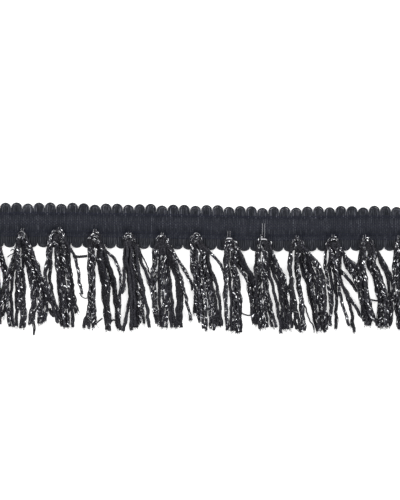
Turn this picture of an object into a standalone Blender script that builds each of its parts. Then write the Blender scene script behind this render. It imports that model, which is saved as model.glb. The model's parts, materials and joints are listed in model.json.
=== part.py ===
"""Bunch fringe trim, laid flat: a gimp heading with thirteen folded yarn bunches.

X runs along the trim, +Y points from the fringe to the heading's upper edge, and +Z is up
from the surface that the trim lies on. Tables are in millimetres, everything else in metres.
"""
import random
from collections import namedtuple

import bmesh
import bpy
import numpy as np
from mathutils import Vector

MM = 0.001
GAP = 0.3 * MM
STRAND_GAP = 0.18 * MM

# Heading: the gimp braid
REPEAT = 13.4 * MM
REPEATS = 13
SCALLOPS_PER_REPEAT = 3
SCALLOP = REPEAT / SCALLOPS_PER_REPEAT
HEADING_LENGTH = REPEAT * REPEATS
HEADING_HEIGHT = 18.1 * MM
UPPER_DEPTH = 1.95 * MM
LOWER_DEPTH = 1.2 * MM
SCALLOP_POWER = 2.2
LOW_SCALLOP_DROP = 0.5 * MM
LOWER_PHASE = 1.65 * MM
COLUMNS_PER_SCALLOP = 4
NOTCH_SWELL = 2.0
HEADING_TOP = 1.6 * MM

# Bunches: yarn folded over the lower part of the heading
HEAD_PITCH = 1.5 * MM
HEAD_COLUMNS = 4
SLOT_SHIFT = 0.45 * MM
HEAD_LUMP_WIDTH = 4.9 * MM
HEAD_LUMP_HEIGHT = 2.2 * MM
HEAD_LUMP_BELOW_TOP = 1.3 * MM
HEAD_LUMP_ABOVE_EDGE = 0.3 * MM
HEAD_LUMP_GAP = 0.35 * MM
HEAD_ROUND = 2.0 * MM
HEAD_SOFTNESS = 0.6 * MM
HEAD_RISE = 1.5 * MM
ROOT_DROOP = 0.85
ROOT_RISE = 0.15 * MM
CROWN_BELOW_TOP = 0.8 * MM
CROWN_DEPTH = 1.2 * MM
SHOULDER_BELOW_TOP = 2.2 * MM
EXIT_DEPTH = 0.6 * MM
ROOT_STATIONS = 3
STRAND_STATIONS = (5.0, 11.0, 19.0)
LOCK_STATIONS = (6.0, 14.0, 24.0)
STRAND_TOP_WIDTH = 0.68
TIP_ROOM = 2.5
LOCK_WANDER = 0.2
STRAND_WANDER = 0.08
TIP_WANDER = 0.8
CROWN_WIDTH = 0.62

# How the trim lies: the rise of its line along its length
Lie = namedtuple("Lie", "along rise")
LIE = [Lie(-87, 1.6), Lie(-62, 1.7), Lie(-30, 1.2), Lie(2, 0.7), Lie(32, 0.0), Lie(60, 0.3),
       Lie(87, 0.3)]

# Relief across the heading: distance below the upper edge line, height, how far the loops swell it
Relief = namedtuple("Relief", "below height swell")
RELIEF = [
    Relief(0.0, 1.00, 0.0),
    Relief(1.2, 1.35, 0.25),
    Relief(3.0, 1.30, 0.30),
    Relief(4.0, 0.95, 0.0),
    Relief(7.0, 1.40, 0.0),
    Relief(10.2, 1.00, 0.0),
    Relief(12.0, 1.35, 0.0),
    Relief(13.6, 0.95, 0.15),
    Relief(16.1, 1.35, 0.25),
    Relief(18.1, 1.00, 0.0),
]

# Yarns: width and height of the plain four-sided strand
Yarn = namedtuple("Yarn", "width height")
YARNS = {
    "black": Yarn(1.05, 0.80),
    "silver": Yarn(1.15, 0.85),
    "thread": Yarn(0.60, 0.50),
}

# A lock is a few like strands: their fan is the distance between the outer two. x6, x14 and x24
# are its places that far below the heading, from the bunch's middle; tip is its end's place,
# drop its end's distance below the heading.
Lock = namedtuple("Lock", "yarn strands fan x6 x14 x24 tip drop")
Bunch = namedtuple("Bunch", "shift top locks")

BUNCHES = [
    Bunch(-2.6, 7.0, [
        Lock("black", 3, 2.8, 0.0, 0.2, 0.4, 0.4, 31.2),
        Lock("black", 2, 1.6, 3.0, 3.8, 4.0, 3.8, 31.0),
        Lock("silver", 2, 1.6, -1.4, -1.4, -1.2, -1.0, 30.8),
        Lock("black", 2, 1.5, 6.4, 6.8, 6.0, 5.6, 28.2),
        Lock("silver", 1, 0.0, 5.4, 6.8, 5.8, 5.6, 22.4),
        Lock("silver", 1, 0.0, 1.4, 2.0, 2.4, 2.4, 30.4),
    ]),
    Bunch(-2.1, 7.2, [
        Lock("black", 2, 1.5, 4.6, 7.2, 9.8, 8.6, 29.6),
        Lock("black", 2, 1.5, -3.2, -5.5, -4.9, -4.4, 31.6),
        Lock("black", 2, 1.5, -0.5, -0.1, 0.2, 0.4, 31.6),
        Lock("black", 1, 0.0, -1.9, -2.6, -2.6, -2.2, 31.4),
        Lock("black", 2, 1.5, 1.9, 3.8, 4.5, 3.4, 30.2),
        Lock("silver", 2, 1.6, 4.0, 6.2, 7.3, 6.9, 30.4),
        Lock("silver", 1, 0.0, 5.1, 7.9, 10.7, 10.9, 21.8),
        Lock("silver", 1, 0.0, -4.2, -6.1, -5.8, -5.4, 31.0),
        Lock("silver", 1, 0.0, -1.6, -1.3, -1.4, -1.4, 23.6),
    ]),
    Bunch(-0.6, 7.6, [
        Lock("black", 3, 2.8, -0.2, 0.8, 1.5, 1.9, 31.8),
        Lock("black", 2, 1.5, -4.6, -4.5, -1.9, 0.0, 30.0),
        Lock("black", 1, 0.0, 3.8, 4.4, 6.3, 6.5, 26.2),
        Lock("black", 1, 0.0, 2.7, 4.0, 4.9, 5.2, 31.4),
        Lock("silver", 1, 0.0, -5.5, -5.6, -3.2, -2.7, 21.2),
        Lock("silver", 1, 0.0, 7.0, 7.6, 8.6, 8.6, 19.2),
        Lock("thread", 1, 0.0, 4.2, 5.0, 7.6, 7.6, 26.0),
        Lock("silver", 1, 0.0, 2.0, 3.6, 3.5, 3.2, 30.6),
        Lock("silver", 1, 0.0, -0.6, 0.6, 1.4, 1.9, 31.0),
    ]),
    Bunch(0.1, 7.2, [
        Lock("black", 2, 1.5, -1.7, -1.5, -1.6, -3.8, 31.4),
        Lock("black", 3, 2.0, 2.3, 3.5, 4.5, 5.2, 32.2),
        Lock("black", 2, 1.2, 4.9, 7.2, 8.8, 9.3, 32.2),
        Lock("silver", 1, 0.0, 9.2, 10.0, 9.8, 9.7, 28.6),
        Lock("black", 1, 0.0, 3.2, 5.5, 5.4, 5.3, 22.4),
        Lock("silver", 1, 0.0, -0.3, -0.2, 0.0, 0.1, 30.6),
        Lock("silver", 2, 1.6, -1.4, -1.3, -1.5, -1.8, 31.4),
    ]),
    Bunch(0.6, 6.2, [
        Lock("black", 3, 2.8, 0.9, 1.4, 1.7, 1.6, 31.8),
        Lock("black", 1, 0.0, -1.7, -0.3, -0.5, -2.7, 32.2),
        Lock("silver", 2, 1.6, 2.0, 3.4, 4.3, 4.6, 30.2),
        Lock("black", 1, 0.0, 3.2, 4.9, 7.2, 8.0, 31.6),
        Lock("black", 1, 0.0, 5.0, 8.4, 8.6, 8.6, 16.4),
        Lock("thread", 1, 0.0, 6.6, 9.4, 9.6, 9.6, 14.0),
        Lock("black", 1, 0.0, -2.4, -2.2, -3.1, -3.1, 17.4),
        Lock("black", 2, 1.5, 0.0, 0.9, 1.2, 1.2, 31.0),
    ]),
    Bunch(0.2, 6.2, [
        Lock("black", 2, 1.5, 1.5, 2.2, 3.5, 4.5, 31.4),
        Lock("black", 3, 1.9, 4.4, 6.7, 6.7, 6.5, 30.4),
        Lock("silver", 1, 0.0, 5.6, 8.1, 10.3, 11.5, 28.0),
        Lock("silver", 1, 0.0, 7.4, 11.5, 12.2, 12.2, 15.6),
        Lock("black", 1, 0.0, -1.0, -1.4, -0.7, -0.4, 30.4),
        Lock("silver", 2, 1.6, 0.4, 0.6, 1.3, 1.2, 31.4),
        Lock("silver", 2, 1.5, -3.3, -3.7, -2.9, -1.8, 29.8),
    ]),
    Bunch(0.5, 6.2, [
        Lock("black", 2, 1.5, -1.4, 0.3, -0.3, -0.3, 26.0),
        Lock("black", 2, 1.5, 3.6, 5.6, 7.4, 8.0, 30.0),
        Lock("black", 1, 0.0, 5.2, 7.9, 9.4, 9.9, 30.0),
        Lock("silver", 1, 0.0, 9.9, 11.2, 11.2, 11.2, 9.4),
        Lock("silver", 2, 1.5, 2.6, 4.4, 5.8, 6.3, 32.0),
        Lock("silver", 2, 1.5, 0.8, 2.2, 2.9, 3.2, 31.4),
        Lock("silver", 2, 1.6, -0.9, 0.4, 0.6, 1.9, 29.6),
    ]),
    Bunch(0.0, 6.2, [
        Lock("black", 3, 2.8, 6.1, 9.0, 10.1, 10.8, 29.0),
        Lock("black", 1, 0.0, -1.8, -1.5, -1.2, -0.4, 31.5),
        Lock("black", 1, 0.0, -0.3, 0.3, 1.2, 0.9, 31.3),
        Lock("black", 2, 1.5, 2.0, 3.4, 3.9, 3.9, 32.3),
        Lock("silver", 1, 0.0, 1.3, 1.7, 2.3, 2.4, 31.3),
        Lock("silver", 1, 0.0, 3.6, 8.4, 9.2, 9.6, 27.0),
        Lock("silver", 1, 0.0, 2.6, 3.0, 3.8, 3.6, 31.7),
        Lock("silver", 1, 0.0, -1.0, -0.9, -1.2, -0.6, 31.0),
    ]),
    Bunch(0.4, 6.2, [
        Lock("black", 3, 2.8, 4.3, 7.2, 8.7, 8.5, 31.0),
        Lock("black", 1, 0.0, 1.6, 3.6, 6.0, 7.2, 32.2),
        Lock("black", 2, 1.5, -2.5, -2.2, -1.4, -0.6, 30.4),
        Lock("silver", 1, 0.0, 5.9, 9.3, 9.8, 9.8, 17.6),
        Lock("silver", 1, 0.0, 0.4, 0.7, 2.5, 3.6, 30.8),
        Lock("silver", 1, 0.0, 1.0, 1.3, 3.6, 4.8, 30.6),
        Lock("silver", 2, 1.6, -1.2, -0.8, 0.2, 1.0, 30.4),
    ]),
    Bunch(0.5, 6.0, [
        Lock("black", 1, 0.0, -3.2, -2.6, -2.9, -2.3, 30.4),
        Lock("black", 1, 0.0, -3.0, -2.4, -1.7, -0.6, 31.2),
        Lock("black", 1, 0.0, -2.8, -2.2, -0.5, 1.2, 31.8),
        Lock("black", 2, 1.5, 2.6, 4.9, 7.1, 8.4, 31.8),
        Lock("black", 2, 1.5, 5.2, 8.0, 9.6, 10.4, 31.6),
        Lock("black", 1, 0.0, 9.4, 10.6, 11.2, 11.6, 29.6),
        Lock("silver", 2, 1.6, 8.1, 9.5, 10.5, 10.9, 31.4),
        Lock("thread", 1, 0.0, 0.8, 1.4, 3.4, 6.7, 30.6),
        Lock("silver", 2, 0.9, -0.2, 0.4, 2.1, 2.2, 31.4),
        Lock("silver", 1, 0.0, 3.8, 6.0, 7.4, 8.9, 31.4),
    ]),
    Bunch(1.4, 5.8, [
        Lock("black", 2, 1.5, 8.1, 11.9, 13.3, 13.8, 29.4),
        Lock("black", 1, 0.0, 0.2, 0.9, 1.5, 0.9, 31.0),
        Lock("black", 1, 0.0, 2.4, 3.6, 8.5, 8.7, 32.2),
        Lock("black", 1, 0.0, 2.8, 2.8, 11.0, 13.6, 29.2),
        Lock("black", 1, 0.0, 2.2, 8.8, 9.8, 9.8, 15.4),
        Lock("silver", 2, 1.6, 6.4, 10.3, 12.2, 12.6, 27.6),
        Lock("silver", 1, 0.0, 1.4, 2.3, 4.7, 6.7, 30.4),
        Lock("black", 1, 0.0, -1.5, -0.4, -0.6, -1.2, 27.4),
        Lock("silver", 1, 0.0, 0.9, 2.1, 2.8, 2.8, 18.4),
        Lock("silver", 1, 0.0, -3.1, -1.8, -1.0, -1.5, 29.4),
    ]),
    Bunch(0.5, 5.8, [
        Lock("black", 2, 1.5, 8.2, 10.4, 10.0, 9.9, 30.2),
        Lock("black", 2, 1.5, -1.5, -0.9, 0.6, 1.6, 29.0),
        Lock("black", 2, 1.5, 2.4, 5.2, 6.7, 6.5, 30.4),
        Lock("black", 1, 0.0, 4.5, 7.4, 8.4, 8.4, 30.4),
        Lock("silver", 1, 0.0, 4.6, 7.6, 9.0, 9.0, 30.0),
        Lock("black", 1, 0.0, 0.0, 0.4, 2.6, 4.8, 30.4),
        Lock("silver", 2, 1.6, 3.4, 6.3, 7.5, 7.4, 30.2),
        Lock("silver", 1, 0.0, -0.4, -0.2, 1.7, 3.2, 28.0),
    ]),
    Bunch(0.9, 5.4, [
        Lock("black", 3, 3.0, 0.2, 0.8, 1.0, 1.0, 31.0),
        Lock("black", 2, 1.6, 3.4, 3.9, 4.0, 3.8, 30.8),
        Lock("silver", 2, 1.7, 1.6, 2.4, 2.8, 3.0, 31.0),
        Lock("silver", 2, 1.7, -1.4, -1.1, -0.5, 0.4, 29.0),
    ]),
]

# Colour, roughness and metallic value of each finish
Finish = namedtuple("Finish", "colour roughness metallic")
HEADING_FINISH = Finish((0.038, 0.041, 0.050, 1.0), 0.85, 0.0)
BUNCH_FINISH = Finish((0.062, 0.062, 0.070, 1.0), 0.50, 0.15)

# Grid on which the height of what already lies there is kept
CELL = 0.1 * MM
CELL_STEP = 0.7 * CELL
SETTLE_ROUNDS = 60
SETTLE_ERROR = 0.01 * MM
GRID_HALF_LENGTH = 96.0 * MM
GRID_LOW = -40.0 * MM
GRID_HIGH = 24.0 * MM


def curve_through(places, values, at):
    """Value at one place of the smooth curve through a short row of points."""
    places = np.asarray(places, float)
    values = np.asarray(values, float)
    slopes = np.gradient(values, places)
    index = int(np.clip(np.searchsorted(places, at) - 1, 0, len(places) - 2))
    span = places[index + 1] - places[index]
    t = float(np.clip((at - places[index]) / span, 0.0, 1.0))
    start = (1 + 2 * t) * (1 - t) ** 2 * values[index] + t * (1 - t) ** 2 * span * slopes[index]
    end = t * t * (3 - 2 * t) * values[index + 1] - t * t * (1 - t) * span * slopes[index + 1]
    return float(start + end)


def rise_at(x):
    """How far the trim's line stands above its lowest stretch, at a place along it."""
    return curve_through([row.along for row in LIE], [row.rise for row in LIE], x / MM) * MM


def scallop_depth(x, phase, depth):
    """How far a scalloped edge is drawn in: nothing at a scallop's middle, all at a notch."""
    turn = ((x - phase) / SCALLOP) % 1.0
    return depth * (2.0 * abs(turn - 0.5)) ** SCALLOP_POWER


def upper_edge(x):
    """Height of the heading's upper edge line, whose every third scallop is lower."""
    middle = round((x + HEADING_LENGTH / 2) / SCALLOP - 0.5)
    low = LOW_SCALLOP_DROP if middle % SCALLOPS_PER_REPEAT == 1 else 0.0
    return HEADING_HEIGHT - low - scallop_depth(x, -HEADING_LENGTH / 2, UPPER_DEPTH)


def lower_edge(x):
    """Height of the heading's lower edge line."""
    return scallop_depth(x, LOWER_PHASE - HEADING_LENGTH / 2, LOWER_DEPTH)


def finish_material(name, finish):
    """Principled material of one piece."""
    material = bpy.data.materials.new(name)
    material.use_nodes = True
    shader = material.node_tree.nodes["Principled BSDF"]
    shader.inputs["Base Color"].default_value = finish.colour
    shader.inputs["Roughness"].default_value = finish.roughness
    shader.inputs["Metallic"].default_value = finish.metallic
    material.diffuse_color = finish.colour
    return material


def add_object(name, bm, collection):
    """Object of a finished bmesh, linked to a collection."""
    mesh = bpy.data.meshes.new(name)
    bm.to_mesh(mesh)
    bm.free()
    piece = bpy.data.objects.new(name, mesh)
    collection.objects.link(piece)
    return piece


def make_heading(collection):
    """The braid: a grid shaped to the scalloped outline, its relief in its upper points."""
    columns = REPEATS * SCALLOPS_PER_REPEAT * COLUMNS_PER_SCALLOP
    rows = len(RELIEF) - 1
    bm = bmesh.new()
    bmesh.ops.create_grid(bm, x_segments=columns, y_segments=rows, size=0.5)
    for vert in bm.verts:
        x = vert.co.x * HEADING_LENGTH
        relief = RELIEF[round((0.5 - vert.co.y) * rows)]
        share = relief.below / RELIEF[-1].below
        top = upper_edge(x)
        bottom = lower_edge(x)
        swell = relief.swell * (1.0 - scallop_depth(x, -HEADING_LENGTH / 2, NOTCH_SWELL))
        height = min((relief.height + swell) * MM, HEADING_TOP)
        vert.co = Vector((x, top + (bottom - top) * share + rise_at(x), height))
    edges = [edge for edge in bm.edges if edge.is_boundary]
    wall = bmesh.ops.extrude_edge_only(bm, edges=edges)["geom"]
    for item in wall:
        if isinstance(item, bmesh.types.BMVert):
            item.co.z = 0.0
    rim = [item for item in wall if isinstance(item, bmesh.types.BMEdge) and item.is_boundary]
    bmesh.ops.contextual_create(bm, geom=rim)
    bmesh.ops.triangulate(bm, faces=[face for face in bm.faces if len(face.verts) > 4])
    bmesh.ops.recalc_face_normals(bm, faces=bm.faces)
    piece = add_object("heading", bm, collection)
    piece.data.materials.append(finish_material("heading_gimp", HEADING_FINISH))
    return piece


class Pile:
    """Height of the top of what lies there so far, cell by cell."""

    def __init__(self):
        columns = int(2 * GRID_HALF_LENGTH / CELL)
        rows = int((GRID_HIGH - GRID_LOW) / CELL)
        self.top = np.full((columns, rows), -STRAND_GAP)
        for column in range(columns):
            x = column * CELL - GRID_HALF_LENGTH
            if abs(x) < HEADING_LENGTH / 2 + CELL:
                edge = lower_edge(x) + rise_at(x) - GAP
                self.top[column, int((edge - GRID_LOW) / CELL):] = HEADING_TOP + GAP - STRAND_GAP

    def cells(self, route, half_width):
        """Place along the route and grid cells of a band about it."""
        bands = []
        across = np.arange(-half_width, half_width + CELL / 2, CELL_STEP)
        for index in range(len(route) - 1):
            start, end = np.array(route[index]), np.array(route[index + 1])
            length = float(np.hypot(*(end - start)))
            side = np.array([start[1] - end[1], end[0] - start[0]]) / length
            along = np.linspace(0.0, 1.0, max(2, int(length / CELL_STEP)))
            x = start[0] + np.outer(along, [end[0] - start[0]]) + across * side[0]
            y = start[1] + np.outer(along, [end[1] - start[1]]) + across * side[1]
            columns = np.clip(((x + GRID_HALF_LENGTH) / CELL).astype(int), 0, self.top.shape[0] - 1)
            rows = np.clip(((y - GRID_LOW) / CELL).astype(int), 0, self.top.shape[1] - 1)
            bands.append((along, columns, rows))
        return bands

    def settle(self, route, width):
        """Lowest heights of a strand's stations at which it clears all that lies there."""
        heights = np.zeros(len(route))
        bands = self.cells(route, width / 2 + STRAND_GAP)
        for _ in range(SETTLE_ROUNDS):
            worst = 0.0
            for index, (along, columns, rows) in enumerate(bands):
                need = self.top[columns, rows].max(axis=1) + STRAND_GAP
                here = heights[index] * (1 - along) + heights[index + 1] * along
                lack = need - here
                spot = int(lack.argmax())
                if lack[spot] > 0.0:
                    t = along[spot]
                    share = lack[spot] / ((1 - t) ** 2 + t ** 2)
                    heights[index] += share * (1 - t)
                    heights[index + 1] += share * t
                    worst = max(worst, lack[spot])
            if worst < SETTLE_ERROR:
                break
        return heights

    def lay(self, route, heights, width, thickness):
        """Add a strand to the pile."""
        for index, (along, columns, rows) in enumerate(self.cells(route, width / 2)):
            top = (heights[index] * (1 - along) + heights[index + 1] * along + thickness)[:, None]
            self.top[columns, rows] = np.maximum(self.top[columns, rows], top)


def sideways(route, index):
    """Unit vector across the route at one of its stations."""
    before = np.array(route[max(index - 1, 0)])
    after = np.array(route[min(index + 1, len(route) - 1)])
    run = (after - before) / np.hypot(*(after - before))
    return np.array([-run[1], run[0]])


def strand_corners(route, heights, yarn, index):
    """Four corners of a strand at one station: flat underneath and narrower on top."""
    side = sideways(route, index)
    corners = []
    top = STRAND_TOP_WIDTH
    for across, up in ((-1.0, 0.0), (1.0, 0.0), (top, 1.0), (-top, 1.0)):
        place = np.array(route[index]) + side * across * yarn.width / 2 * MM
        corners.append(Vector((place[0], place[1], heights[index] + up * yarn.height * MM)))
    return corners


def make_strand(route, heights, yarn, collection):
    """One plain four-sided strand, drawn out station by station from its first section."""
    bm = bmesh.new()
    first = [bm.verts.new(corner) for corner in strand_corners(route, heights, yarn, 0)]
    face = bm.faces.new(first)
    for index in range(1, len(route)):
        face = bmesh.ops.extrude_discrete_faces(bm, faces=[face])["faces"][0]
        for vert, corner in zip(face.verts, strand_corners(route, heights, yarn, index)):
            vert.co = corner
    bm.faces.new(first)
    bmesh.ops.recalc_face_normals(bm, faces=bm.faces)
    return add_object("strand", bm, collection)


def bunch_strands(bunch, chance):
    """Every strand of a bunch, from the lowest up: its yarn and its places below the heading."""
    strands = []
    for lock in bunch.locks:
        bends = [chance.uniform(-LOCK_WANDER, LOCK_WANDER) for _ in range(4)]
        for number in range(lock.strands):
            share = number / (lock.strands - 1) - 0.5 if lock.strands > 1 else 0.0
            stray = [bend + chance.uniform(-STRAND_WANDER, STRAND_WANDER) for bend in bends]
            drop = lock.drop + chance.uniform(-TIP_WANDER, TIP_WANDER)
            places = list(zip(LOCK_STATIONS, (lock.x6, lock.x14, lock.x24)))
            places = [place for place in places if place[0] < drop - TIP_ROOM] + [(drop, lock.tip)]
            points = [(depth, x + share * lock.fan + extra)
                      for (depth, x), extra in zip(places, stray)]
            strands.append((lock.yarn, points))
    return strands


def head_slots(strands):
    """Place of each strand's root across the head: in order of where the strands go."""
    order = sorted(range(len(strands)), key=lambda number: strands[number][1][0][1])
    slots = [0.0] * len(strands)
    for rank, number in enumerate(order):
        column = int(rank * HEAD_COLUMNS / len(strands))
        within = rank * HEAD_COLUMNS / len(strands) - column - 0.5
        slots[number] = (column - (HEAD_COLUMNS - 1) / 2) * HEAD_PITCH + within * SLOT_SHIFT
    return slots


def strand_route(points, slot, bunch, middle, edge):
    """Plan of one strand: over the crown of its fold, down the head, and out to its end."""
    reach = (HEAD_COLUMNS - 1) / 2 * HEAD_PITCH
    top = bunch.top * MM - CROWN_BELOW_TOP - CROWN_DEPTH * (1.0 - abs(slot) / reach)
    route = [
        (middle + slot * CROWN_WIDTH, edge + top),
        (middle + slot, edge + top - SHOULDER_BELOW_TOP),
        (middle + slot, edge - EXIT_DEPTH),
    ]
    depths = [EXIT_DEPTH / MM] + [point[0] for point in points]
    places = [slot / MM] + [point[1] for point in points]
    drop = depths[-1]
    for depth in [station for station in STRAND_STATIONS if station < drop - TIP_ROOM] + [drop]:
        x = curve_through(depths, places, depth)
        route.append((middle + x * MM, edge - depth * MM))
    return route


def make_head(name, bunch, middle, edge, collection):
    """The lump inside a bunch's fold, which holds its strands together."""
    length = bunch.top * MM - HEAD_LUMP_BELOW_TOP - HEAD_LUMP_ABOVE_EDGE
    bm = bmesh.new()
    bmesh.ops.create_cube(bm, size=1.0)
    bmesh.ops.scale(bm, verts=bm.verts, vec=(HEAD_LUMP_WIDTH, length, HEAD_LUMP_HEIGHT))
    corners = [side for side in bm.edges if min(vert.co.y for vert in side.verts) > 0
               and abs(side.verts[0].co.z - side.verts[1].co.z) > MM]
    bmesh.ops.bevel(bm, geom=corners, offset=HEAD_ROUND, segments=2, profile=0.5,
                    affect="EDGES", material=-1)
    upper = [side for side in bm.edges if min(vert.co.z for vert in side.verts) > 0]
    bmesh.ops.bevel(bm, geom=upper, offset=HEAD_SOFTNESS, segments=1, profile=0.5,
                    affect="EDGES", material=-1)
    centre = Vector((middle, edge + HEAD_LUMP_ABOVE_EDGE + length / 2,
                     HEADING_TOP + HEAD_LUMP_GAP + HEAD_LUMP_HEIGHT / 2))
    bmesh.ops.translate(bm, verts=bm.verts, vec=centre)
    return add_object(name, bm, collection)


def fuse(base, tools):
    """Join solids to the base with Boolean unions and keep the joined mesh."""
    for number, tool in enumerate(tools):
        union = base.modifiers.new(f"union_{number}", "BOOLEAN")
        union.operation = "UNION"
        union.solver = "MANIFOLD"
        union.object = tool
    bpy.context.view_layer.update()
    graph = bpy.context.evaluated_depsgraph_get()
    joined = bpy.data.meshes.new_from_object(base.evaluated_get(graph))
    plain = base.data
    base.modifiers.clear()
    base.data = joined
    bpy.data.meshes.remove(plain)
    for tool in tools:
        mesh = tool.data
        bpy.data.objects.remove(tool)
        bpy.data.meshes.remove(mesh)


def drop_pockets(mesh):
    """Take out the closed pockets that the joined strands leave inside a head."""
    bm = bmesh.new()
    bm.from_mesh(mesh)
    unseen = set(bm.faces)
    shells = []
    while unseen:
        shell = [unseen.pop()]
        for face in shell:
            for near in {other for edge in face.edges for other in edge.link_faces} & unseen:
                unseen.discard(near)
                shell.append(near)
        shells.append(shell)
    shells.sort(key=len)
    bmesh.ops.delete(bm, geom=[face for shell in shells[:-1] for face in shell], context="FACES")
    bm.to_mesh(mesh)
    bm.free()


def make_bunch(number, bunch, pile, collection):
    """One bunch: its strands laid in turn on the pile and fused at the head."""
    middle = -HEADING_LENGTH / 2 + (number - 0.5) * REPEAT + bunch.shift * MM
    edge = rise_at(middle)
    strands = bunch_strands(bunch, random.Random(number))
    slots = head_slots(strands)
    name = f"bunch_{number:02d}"
    head = make_head(name, bunch, middle, edge, collection)
    tools = []
    laid = []
    for rank, ((yarn_name, points), slot) in enumerate(zip(strands, slots)):
        yarn = YARNS[yarn_name]
        route = strand_route(points, slot, bunch, middle, edge)
        free = route[ROOT_STATIONS:]
        heights = pile.settle(free, yarn.width * MM)
        pile.lay(free, heights, yarn.width * MM, yarn.height * MM)
        laid.append((free, heights, yarn))
        start = HEADING_TOP + GAP + HEAD_RISE * rank / len(strands)
        leave = max(start, ROOT_DROOP * heights[0])
        lifted = np.concatenate([[start, start + ROOT_RISE, leave], heights])
        tools.append(make_strand(route, lifted, yarn, collection))
    spare = GAP - STRAND_GAP
    for free, heights, yarn in laid:
        pile.lay(free, heights, yarn.width * MM + 2 * spare, yarn.height * MM + spare)
    fuse(head, tools)
    drop_pockets(head.data)
    head.data.materials.clear()
    head.data.materials.append(finish_material(f"{name}_yarn", BUNCH_FINISH))
    return head


def centre_on_origin(pieces):
    """Move all meshes so that the trim's box stands on the origin, centred."""
    corners = [vert.co for piece in pieces for vert in piece.data.vertices]
    low = Vector(min(corner[axis] for corner in corners) for axis in range(3))
    high = Vector(max(corner[axis] for corner in corners) for axis in range(3))
    offset = Vector((-(low.x + high.x) / 2, -(low.y + high.y) / 2, -low.z))
    for piece in pieces:
        for vert in piece.data.vertices:
            vert.co += offset


for existing in list(bpy.data.objects):
    bpy.data.objects.remove(existing, do_unlink=True)
trim = bpy.data.collections.new("fringe_trim")
bpy.context.scene.collection.children.link(trim)

parts = [make_heading(trim)]
ground = Pile()
for place, each in enumerate(BUNCHES, start=1):
    parts.append(make_bunch(place, each, ground, trim))
centre_on_origin(parts)
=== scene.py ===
"""Bunch fringe trim, dressed: gimp braid heading, folded cord bunches, stitches and threads."""
import json
import math
import random
from collections import namedtuple

import bmesh
import bpy
import numpy as np
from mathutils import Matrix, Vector

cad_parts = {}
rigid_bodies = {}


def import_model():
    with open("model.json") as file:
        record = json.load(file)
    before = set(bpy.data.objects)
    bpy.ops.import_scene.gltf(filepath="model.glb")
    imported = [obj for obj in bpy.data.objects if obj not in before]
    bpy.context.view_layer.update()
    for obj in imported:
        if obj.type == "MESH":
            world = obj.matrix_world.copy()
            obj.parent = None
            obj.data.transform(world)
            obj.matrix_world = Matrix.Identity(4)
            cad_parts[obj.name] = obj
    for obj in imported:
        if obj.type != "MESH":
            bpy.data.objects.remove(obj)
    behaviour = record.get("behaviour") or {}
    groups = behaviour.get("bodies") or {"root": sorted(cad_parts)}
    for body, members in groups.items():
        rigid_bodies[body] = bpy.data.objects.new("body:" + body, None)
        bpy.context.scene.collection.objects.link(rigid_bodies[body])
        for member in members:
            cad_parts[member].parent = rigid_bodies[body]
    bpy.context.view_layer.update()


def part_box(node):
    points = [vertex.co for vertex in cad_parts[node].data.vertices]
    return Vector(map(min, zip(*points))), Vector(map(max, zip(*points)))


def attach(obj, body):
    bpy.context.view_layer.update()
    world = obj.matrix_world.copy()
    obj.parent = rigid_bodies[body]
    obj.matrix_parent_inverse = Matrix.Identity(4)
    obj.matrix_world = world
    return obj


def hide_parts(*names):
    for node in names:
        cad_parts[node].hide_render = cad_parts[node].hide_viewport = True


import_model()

# Heading ground
# The inner face of the woven braid, seen only between its cords: a matt black strip with a
# scalloped outline, flat underneath, held together by the weave itself.
MM = 0.001
REPEATS = 13
SCALLOPS_PER_REPEAT = 3
heading_low, heading_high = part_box("heading")
HEADING_LENGTH = heading_high.x - heading_low.x
LINE_Y = heading_low.y
REPEAT = HEADING_LENGTH / REPEATS
SCALLOP = REPEAT / SCALLOPS_PER_REPEAT
HEADING_HEIGHT = 18.1 * MM
UPPER_DEPTH = 1.95 * MM
LOWER_DEPTH = 1.2 * MM
SCALLOP_POWER = 2.2
LOW_SCALLOP_DROP = 0.5 * MM
LOWER_PHASE = 1.65 * MM
GROUND_INSET = 0.75 * MM
GROUND_LOW = 0.02 * MM
GROUND_TOP = 0.42 * MM
GROUND_END_ROOM = 0.4 * MM
GROUND_COLUMNS = 6
GROUND_ROWS = 8

Lie = namedtuple("Lie", "along rise")
LIE = [Lie(-87, 1.6), Lie(-62, 1.7), Lie(-30, 1.2), Lie(2, 0.7), Lie(32, 0.0), Lie(60, 0.3),
       Lie(87, 0.3)]


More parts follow.
